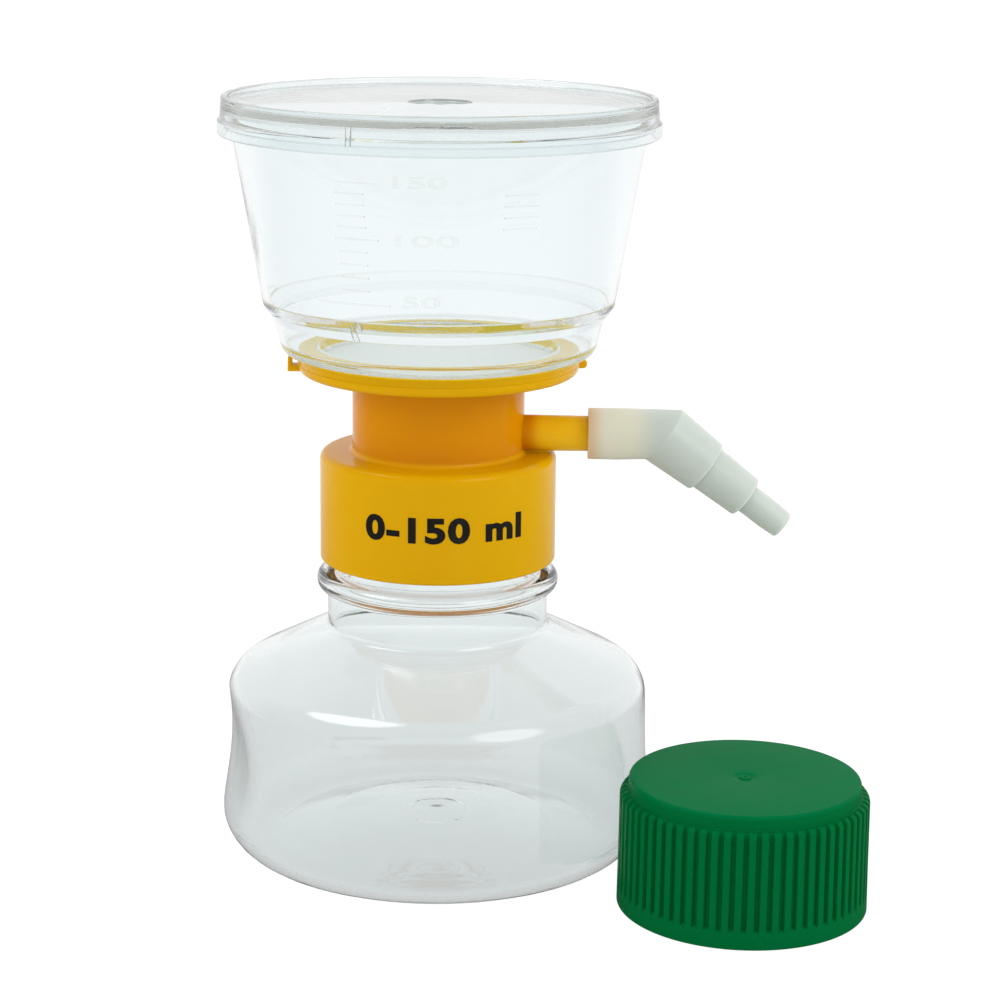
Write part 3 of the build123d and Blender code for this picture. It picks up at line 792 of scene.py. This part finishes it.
baseSizes = {
    "collarRadius": 24.45, "collarBore": 22.5, "roofTop": 85.0, "roof": 2.3, "collarEdge": 1.5,
    "neckRadius": 17.75, "neckWall": 1.8, "plateRadius": 28.9, "plateThickness": 4.2, "plateEdge": 1.7,
    "rabbet": 2.1, "rabbetWidth": 0.12, "membraneRadius": 25.0, "membraneClearance": 0.2, "seatDepth": 0.2,
    "drainRim": 24.0, "drainDepth": 1.2, "drainSlope": 3.0, "steps": 224,
    "ribs": 12, "ribWidth": 0.8, "ribInner": 5.0, "ribEnd": 0.2, "ribFoot": 0.3,
    "spoutRadius": 4.6, "spoutBore": 3.0, "spoutTip": 76.0, "spoutCut": 40.0, "spoutSpare": 1,
    "spoutSunk": 0.3, "spoutSteps": 64,
    "armHeight": 88.95, "armRoot": 3.75, "armTaper": 0.45, "armReach": 40.5, "armBore": 1.9,
    "armSunk": 0.9, "boreStart": 4, "armSteps": 96,
    "webWidth": 3.0, "webSunk": 0.6, "webDrop": 0.3, "webRound": 0.4,
    "lugWidth": 3.0, "lugRound": 0.18, "lugSunk": 1, "hookBearing": 182.5, "lugBearing": 12.5,
    # radius and height above the plate's underside
    "hook": ((31.0, 0), (30.9, 3.1), (29.95, 3.1), (30.1, 1.4)),
    "lug": ((30.5, 0), (31.0, 0.5), (31.0, 1.4), (30.5, 1.9)),
}


def turnedBase(plateUnder, seat, edge, middle, neckIn):
    # Collar, neck and plate with its drain, as one turned part.
    size = baseSizes
    rabbetIn = size["plateRadius"] - size["rabbetWidth"]
    rabbetFoot = plateHeight - size["rabbet"]
    roofUnder = size["roofTop"] - size["roof"]
    seatRadius = size["membraneRadius"] + size["membraneClearance"]
    line = wire([
        (size["collarBore"], collarBottom, 0.3), (size["collarRadius"], collarBottom, 0.5),
        (size["collarRadius"], size["roofTop"], size["collarEdge"]),
        (size["neckRadius"], size["roofTop"], 1.0), (size["neckRadius"], plateUnder, 0.6),
        (size["plateRadius"], plateUnder, size["plateEdge"]),
        (size["plateRadius"], rabbetFoot, 0.15), (rabbetIn, rabbetFoot, 0.1), (rabbetIn, plateHeight, 0.3),
        (seatRadius, plateHeight, 0.05), (seatRadius, seat), (size["drainRim"], seat),
        (size["drainRim"], edge, 0.3), (size["spoutBore"], middle, 0.4), (size["spoutBore"], plateUnder),
        (neckIn, plateUnder, 0.5), (neckIn, roofUnder, 0.3),
        (size["collarBore"], roofUnder, 0.4)], closed=True)
    return spun(line, size["steps"])


def supportRibs(seat, middle):
    # Ribs that carry the membrane over the drain.
    size = baseSizes
    length = size["drainRim"] - size["ribInner"] + size["ribEnd"]
    foot = size["ribFoot"]
    centre = (size["ribInner"] + length / 2, 0, (seat + middle - foot) / 2)
    return [turned(block(length, size["ribWidth"], seat - middle + foot, centre), 2 * pi * i / size["ribs"])
            for i in range(size["ribs"])]


def drainSpout(plateUnder):
    # A tube with a slanted tip.
    size = baseSizes
    low, high = size["spoutTip"] - size["spoutSpare"], plateUnder + size["spoutSunk"]
    bore, radius = size["spoutBore"], size["spoutRadius"]
    line = wire([(bore, low), (radius, low), (radius, high), (bore, high)], closed=True)
    spout = spun(line, size["spoutSteps"])
    slant = Vector((-sin(radians(size["spoutCut"])), 0, cos(radians(size["spoutCut"]))))
    cut = bmesh.ops.bisect_plane(spout, geom=spout.verts[:] + spout.edges[:] + spout.faces[:], dist=1e-6,
                                 plane_co=(-radius * mm, 0, size["spoutTip"] * mm), plane_no=slant,
                                 clear_inner=True)
    rims = [e for e in cut["geom_cut"] if isinstance(e, bmesh.types.BMEdge)]
    bmesh.ops.bridge_loops(spout, edges=rims)
    return spout


def sideArm(neckIn):
    # The tapered arm with its bore, drawn upright and then laid along X.
    size = baseSizes
    start = neckIn + size["armSunk"]
    end = size["armReach"]
    endRadius = size["armRoot"] - (end - size["neckRadius"]) * tan(radians(size["armTaper"]))
    boreStart = size["neckRadius"] + size["boreStart"]
    arm = wire([(0, start), (size["armRoot"], start), (endRadius, end, 0.4), (size["armBore"], end, 0.2),
                (size["armBore"], boreStart), (0, boreStart)])
    for vert in arm.verts:
        vert.co = (vert.co.z, 0, vert.co.x)
    spun(arm, size["armSteps"], axis=(1, 0, 0))
    bmesh.ops.translate(arm, vec=(0, 0, size["armHeight"] * mm), verts=arm.verts[:])
    return arm


def armWeb():
    # The web that ties the arm to the collar's roof.
    size = baseSizes
    end = size["collarRadius"] - size["collarEdge"]
    start = size["neckRadius"] - size["webSunk"]
    low, high = size["roofTop"] - size["webDrop"], size["armHeight"]
    web = block(end - start, size["webWidth"], high - low, ((end + start) / 2, 0, (high + low) / 2))
    middle = (end + start) / 2 * mm
    outerEdges = [e for e in web.edges if all(v.co.x > middle for v in e.verts)]
    bmesh.ops.bevel(web, geom=outerEdges, affect="EDGES", offset=size["webRound"] * mm, segments=3,
                    profile=0.5, material=-1)
    return web


def plateLug(outline, bearing, plateUnder):
    # A lug that grows out of the plate's edge, from a root as high as its last corner.
    size = baseSizes
    root = size["plateRadius"] - size["plateEdge"] - size["lugSunk"]
    outline = ((root, 0), *outline, (root, outline[-1][1]))
    return slab([(r, plateUnder + z) for r, z in outline], size["lugWidth"], size["lugRound"], bearing)


def makeFilterBase():
    size = baseSizes
    plateUnder = plateHeight - size["plateThickness"]
    seat = plateHeight - size["seatDepth"]
    edge = seat - size["drainDepth"]
    middle = edge - (size["drainRim"] - size["spoutBore"]) * tan(radians(size["drainSlope"]))
    neckIn = size["neckRadius"] - size["neckWall"]
    bm = joined(turnedBase(plateUnder, seat, edge, middle, neckIn), *supportRibs(seat, middle),
                drainSpout(plateUnder), sideArm(neckIn), armWeb(),
                plateLug(size["hook"], size["hookBearing"], plateUnder),
                plateLug(size["lug"], size["lugBearing"], plateUnder))
    piece("filterBase", bm, yellowPlastic, "head", ("filter_base",))


printSizes = {
    "text": "0-150 ml", "height": 5.0, "width": 34.0, "depth": 0.12, "bold": 0.3, "spacing": 1.1,
    "middle": 73.8, "bearing": -84.0, "sunk": 0.02,
}


def makePrint():
    size = printSizes
    word = lettering(size["text"], size["height"], size["depth"], size["width"], size["bold"],
                     size["spacing"])
    wrapped(word, lambda height: baseSizes["collarRadius"] - size["sunk"], size["bearing"], size["middle"])
    bmesh.ops.recalc_face_normals(word, faces=word.faces[:])
    piece("volumePrint", word, printInk, "head", sharp=50)


membraneSizes = {"gap": 0.02, "rounding": 0.02, "steps": 160}


def makeMembrane():
    size = membraneSizes
    low = plateHeight - baseSizes["seatDepth"] + size["gap"]
    high = plateHeight - size["gap"]
    line = wire([(0, low), (baseSizes["membraneRadius"], low, size["rounding"]),
                 (baseSizes["membraneRadius"], high, size["rounding"]), (0, high)])
    piece("filterDisc", spun(line, size["steps"]), membranePaper, "head", ("membrane",))


makeFilterBase()
makePrint()
makeMembrane()
# The gasket and the filter wool keep the mesh that they came with
for plainNode, finish in (("neck_gasket", rubber), ("air_filter_plug", membranePaper)):
    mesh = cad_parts[plainNode].data
    mesh.materials.clear()
    mesh.materials.append(finish)
print("filter base made")


adaptorSizes = {
    "start": 30.9, "straightEnd": 36.9, "socketRadius": 5.3, "socketDraft": 0.05, "socketBore": 3.62,
    "socketDepth": 10.2, "mouthFlare": 0.08, "boreDraft": 0.05,
    "elbow": 46.54, "bend": 37.0, "elbowRadius": 6.35,
    "wideEnd": 5.7, "wideLength": 11.2, "middleStart": 4.9, "middleEnd": 4.48, "middleLength": 10.5,
    "tipRadius": 3.1, "tipLength": 9.8, "tipLand": 6.0, "tipEnd": 2.85, "bore": 1.7, "boreStart": 6.0,
    "roundShare": 0.5, "steps": 96,
}


def makeAdaptor():
    size = adaptorSizes
    height = baseSizes["armHeight"]
    turn = Matrix.Rotation(radians(90), 3, "Y")
    lean = Matrix.Rotation(radians(90 + size["bend"]), 3, "Y")
    along = Vector((cos(radians(size["bend"])), 0, -sin(radians(size["bend"]))))
    elbow = Vector((size["elbow"], 0, height))
    tipStart = size["wideLength"] + size["middleLength"]
    end = tipStart + size["tipLength"]
    # Each ring is its centre, its tilt, its radius and how much its edge is rounded
    rings = []
    for distance, radius, rounding in (
            (size["start"] + size["socketDepth"], size["socketBore"] - size["boreDraft"], 0),
            (size["start"], size["socketBore"] + size["mouthFlare"], 0.25),
            (size["start"], size["socketRadius"], 0.4),
            (size["straightEnd"], size["socketRadius"] + size["socketDraft"], 0.8)):
        rings.append((Vector((distance, 0, height)), turn, radius, rounding))
    rings.append((elbow, lean, size["elbowRadius"], 0.35))
    for distance, radius, rounding in (
            (size["wideLength"], size["wideEnd"], 0.9), (size["wideLength"], size["middleStart"], 0.25),
            (tipStart, size["middleEnd"], 0.9), (tipStart, size["tipRadius"], 0.25),
            (tipStart + size["tipLand"], size["tipRadius"], 0), (end, size["tipEnd"], 0.7),
            (end, size["bore"], 0.3), (size["boreStart"], size["bore"], 0)):
        rings.append((elbow + along * distance, lean, radius, rounding))
    bm = bmesh.new()
    loops = []
    for centre, tilt, radius, rounding in rings:
        made = bmesh.ops.create_circle(bm, cap_ends=False, radius=radius * mm, segments=size["steps"])
        for vert in made["verts"]:
            vert.co = tilt @ vert.co + centre * mm
        loop = {e for v in made["verts"] for e in v.link_edges}
        if loops:
            bmesh.ops.bridge_loops(bm, edges=list(loops[-1] | loop))
        loops.append(loop)
    for loop, (*_, rounding) in zip(loops, rings):
        if rounding:
            edges = [e for e in loop if e.is_valid]
            bmesh.ops.bevel(bm, geom=edges, affect="EDGES", offset=rounding * size["roundShare"] * mm,
                            segments=5, profile=0.5, material=-1)
    for loop in (loops[0], loops[-1]):
        bmesh.ops.holes_fill(bm, edges=[e for e in loop if e.is_valid and e.is_boundary], sides=0)
    bmesh.ops.recalc_face_normals(bm, faces=bm.faces[:])
    piece("hoseAdaptor", bm, milkyPlastic, "adaptor", ("hose_adaptor",), sharp=24)


makeAdaptor()
print("adaptor made")


capSizes = {
    "footRadius": 25.18, "crestRadius": 24.95, "bore": 22.5, "discRadius": 23.15, "discHeight": 2.9,
    "discEdge": 0.6, "discDraft": 0.1, "roof": 2.2, "shoulderDrop": 0.1, "shoulderRound": 1.1,
    "sideBreak": 10, "sideDraft": 0.1, "sealOuter": 19.15, "sealInner": 18.05, "sealLength": 3.0,
    # radius, height from the top and rounding of the gate's mark
    "gate": ((0, -0.25), (0.35, -0.25, 0.1), (0.5, -0.05, 0.1), (1.0, -0.05, 0.1), (1.25, -0.4, 0.15),
             (1.8, -0.3, 0.3), (2.8, 0, 0.5)),
    "doublings": 6, "steps": 8, "band": 3.5, "rowsOver": 9, "grooveRows": 14, "grooveWidth": 0.95,
    "grooveDepth": 0.78, "grooveFloor": 0.72, "grooveWall": 0.55, "grooveRun": 0.5, "grooveFrom": 0.35,
    "grooveStop": 0.2,
}


def cutGrooves(bm, pitch):
    # Presses one groove into the middle of a sector, with soft walls and a short run out above the band.
    size = capSizes
    half = size["grooveWidth"] / 2 / size["crestRadius"]
    for vert in bm.verts:
        radius, height = hypot(vert.co.x, vert.co.y) / mm, vert.co.z / mm
        if radius < size["discRadius"] + size["grooveFrom"] or height < size["band"]:
            continue
        off = abs(abs(atan2(vert.co.y, vert.co.x)) - pitch / 2)
        wall = clamped((off - half * size["grooveFloor"]) / (half * size["grooveWall"]))
        rise = clamped((height - size["band"]) / size["grooveRun"])
        depth = size["grooveDepth"] * (1 - wall * wall * (3 - 2 * wall)) * rise
        depth = min(depth, max(0.0, radius - size["discRadius"] - size["grooveStop"]))
        share = 1 - depth / radius
        vert.co.x *= share
        vert.co.y *= share


def makeCap():
    size = capSizes
    low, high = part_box("storage_cap")
    centre = Vector(((low[0] + high[0]) / 2, (low[1] + high[1]) / 2, 0))
    shoulder = capHeight - size["discHeight"]
    roof = capHeight - size["roof"]
    sealOut, sealIn, sealFoot = size["sealOuter"], size["sealInner"], roof - size["sealLength"]
    line = wire(
        [(radius, capHeight + height, *rounding) for radius, height, *rounding in size["gate"]]
        + [(size["discRadius"], capHeight, size["discEdge"]),
           (size["discRadius"] + size["discDraft"], shoulder, 0.3),
           (size["crestRadius"], shoulder - size["shoulderDrop"], size["shoulderRound"]),
           (size["crestRadius"] + size["sideDraft"], size["sideBreak"]), (size["footRadius"], 0, 0.4),
           (size["bore"], 0, 0.3), (size["bore"], roof, 0.5), (sealOut, roof, 0.3), (sealOut, sealFoot, 0.3),
           (sealIn, sealFoot, 0.3), (sealIn, roof, 0.3), (0, roof)])
    # Rows along the upright outside, where the grooves are
    long = [e for e in line.edges if abs(e.verts[0].co.z - e.verts[1].co.z) > size["rowsOver"] * mm
            and min(v.co.x for v in e.verts) > size["discRadius"] * mm]
    bmesh.ops.subdivide_edges(line, edges=long, cuts=size["grooveRows"])
    # One pitch of the grip is turned and grooved, and copies of it fill the circle
    pitch = 2 * pi / 2 ** size["doublings"]
    bmesh.ops.spin(line, geom=line.verts[:] + line.edges[:], cent=(0, 0, 0), axis=(0, 0, 1), dvec=(0, 0, 0),
                   angle=pitch, steps=size["steps"], use_merge=False, use_duplicate=False)
    cutGrooves(line, pitch)
    doubledRound(line, size["doublings"])
    bmesh.ops.translate(line, vec=centre, verts=line.verts[:])
    piece("storageCap", line, greenPlastic, "bottle", ("storage_cap",), sharp=40)


makeCap()
print("cap made")


# Levels are how bright the floor and the world look, in outer reflections (mirrored) and through clear
# plastic (inner). The floor, the lamps and the camera are placed in metres.
stageSizes = {
    "floorRadius": 6.0, "floorDrop": 0.00005, "floorSteps": 96, "floorColour": (0.90, 0.90, 0.90),
    "floorRoughness": 0.9, "seenShare": 0.85, "seen": 1.12, "fill": 0.70, "bounces": 32,
    "mirroredFront": 0.08, "mirroredBack": 0.9, "innerFront": 0.75, "innerBack": 1.05,
    "floorBack": (0.0, 0.38), "worldBack": (0.15, 0.6), "overhead": 0.8, "overheadFrom": (0.3, 0.9),
}
lampAim = (0.01, 0, 0.07)
lampSizes = (
    # name, place, width and height, watts, colour
    ("keyLamp", (-1.35, -0.45, 0.75), (1.4, 0.8), 8.2, (1.0, 0.99, 0.97)),
    ("fillLamp", (1.35, -0.45, 0.75), (1.2, 0.8), 9.5, (0.97, 0.99, 1.0)),
    ("topLamp", (0.05, 0.25, 1.3), (0.9, 0.9), 4.2, (1.0, 1.0, 1.0)),
)
softBoxes = (
    # direction, the angles from it where the box is full and where it ends, strength
    ((-0.46, -0.02, 0.89), 13, 20, 5.0),
    ((0.59, -0.58, 0.55), 12, 22, 3.2),
)
cameraSizes = {
    "place": (0.02377, -0.54439, 0.20801), "heading": -0.019967, "pitch": 0.240482, "roll": 0.010913,
    "lens": 97.016, "sensorWidth": 36, "clipStart": 0.01,
}


def insideLevel(tree, path, mirrored, inner):
    # One level in outer reflections, and another where it is seen through clear plastic.
    through = mathNode(tree, "GREATER_THAN", path.outputs["Transmission Depth"], 0.5)
    return choose(tree, through, mirrored, inner)


def makeStage():
    # White to the camera. Reflections show it dark in front and pale further back, and clear plastic
    # shows it a little grey in front and white further back.
    size = stageSizes
    bm = bmesh.new()
    bmesh.ops.create_circle(bm, cap_ends=True, radius=size["floorRadius"], segments=size["floorSteps"])
    bmesh.ops.translate(bm, vec=(0, 0, -size["floorDrop"]), verts=bm.verts[:])
    mesh = bpy.data.meshes.new("floor")
    bm.to_mesh(mesh)
    bm.free()
    floor = bpy.data.objects.new("floor", mesh)
    scene.collection.objects.link(floor)
    material, tree, shader = newMaterial("paleFloor")
    shader.inputs["Base Color"].default_value = (*size["floorColour"], 1)
    shader.inputs["Roughness"].default_value = size["floorRoughness"]
    glow = node(tree, "Emission")
    path = node(tree, "LightPath")
    place = node(tree, "TexCoord").outputs["Object"]
    front = insideLevel(tree, path, size["mirroredFront"], size["innerFront"])
    back = insideLevel(tree, path, size["mirroredBack"], size["innerBack"])
    mirrored = choose(tree, ramp(tree, split(tree, place)["Y"], *size["floorBack"]), front, back)
    level = choose(tree, path.outputs["Is Camera Ray"], mirrored, size["seen"])
    tree.links.new(level, glow.inputs["Strength"])
    seen = mathNode(tree, "MAXIMUM", path.outputs["Is Camera Ray"], path.outputs["Is Transmission Ray"])
    seen = mathNode(tree, "MAXIMUM", seen, path.outputs["Is Glossy Ray"])
    share = mathNode(tree, "MULTIPLY", seen, size["seenShare"])
    mixedShaders(tree, share, shader.outputs["BSDF"], glow.outputs["Emission"])
    material.cycles.emission_sampling = "NONE"
    mesh.materials.append(material)


def makeWorld():
    # White to the camera, and through clear walls too but for a greyer top. The rest gets a soft fill, and
    # reflections show two soft boxes in a dim room with a pale backdrop.
    size = stageSizes
    world = bpy.data.worlds.new("softStudio")
    scene.world = world
    world.use_nodes = True
    world.cycles.sampling_method = "NONE"
    tree = world.node_tree
    background = tree.nodes["Background"]
    background.inputs["Color"].default_value = (1, 1, 1, 1)
    path = node(tree, "LightPath")
    place = node(tree, "TexCoord").outputs["Generated"]
    along = split(tree, place)
    front = insideLevel(tree, path, size["mirroredFront"], size["innerFront"])
    backdrop = choose(tree, ramp(tree, along["Y"], *size["worldBack"]), front, size["mirroredBack"])
    for direction, full, ends, strength in softBoxes:
        aim = node(tree, "VectorMath", operation="DOT_PRODUCT")
        tree.links.new(place, aim.inputs[0])
        aim.inputs[1].default_value = Vector(direction).normalized()
        glow = ramp(tree, aim.outputs["Value"], cos(radians(ends)), cos(radians(full)), 0.0, strength)
        backdrop = mathNode(tree, "ADD", backdrop, glow)
    shine = ramp(tree, along["Z"], *size["overheadFrom"], 1.0, size["overhead"])
    level = choose(tree, path.outputs["Is Glossy Ray"], size["fill"], backdrop)
    level = choose(tree, path.outputs["Is Transmission Ray"], level, shine)
    level = choose(tree, path.outputs["Is Camera Ray"], level, 1.0)
    tree.links.new(level, background.inputs["Strength"])


def makeLamps():
    for name, place, size, watts, colour in lampSizes:
        light = bpy.data.lights.new(name, "AREA")
        light.shape = "RECTANGLE"
        light.size, light.size_y = size
        light.energy = watts
        light.color = colour
        lamp = bpy.data.objects.new(name, light)
        # Reflections show the world's soft boxes instead of the lamps, and clear walls show no lamp
        lamp.visible_glossy = False
        lamp.visible_transmission = False
        scene.collection.objects.link(lamp)
        lamp.location = place
        toward = Vector(lampAim) - Vector(place)
        lamp.rotation_euler = toward.to_track_quat("-Z", "Y").to_euler()


def makeCamera():
    size = cameraSizes
    data = bpy.data.cameras.new("camera")
    data.lens = size["lens"]
    data.sensor_width = size["sensorWidth"]
    data.clip_start = size["clipStart"]
    camera = bpy.data.objects.new("camera", data)
    scene.collection.objects.link(camera)
    turn = (Matrix.Rotation(-size["heading"], 4, "Z") @ Matrix.Rotation(pi / 2 - size["pitch"], 4, "X")
            @ Matrix.Rotation(size["roll"], 4, "Z"))
    camera.matrix_world = Matrix.Translation(size["place"]) @ turn
    scene.camera = camera


makeStage()
makeWorld()
makeLamps()
makeCamera()
scene.view_settings.view_transform = "Standard"
# Light bounces many times inside the thick clear rims before it comes out
for kind in ("max_bounces", "transmission_bounces", "glossy_bounces"):
    setattr(scene.cycles, kind, stageSizes["bounces"])
print("stage made")
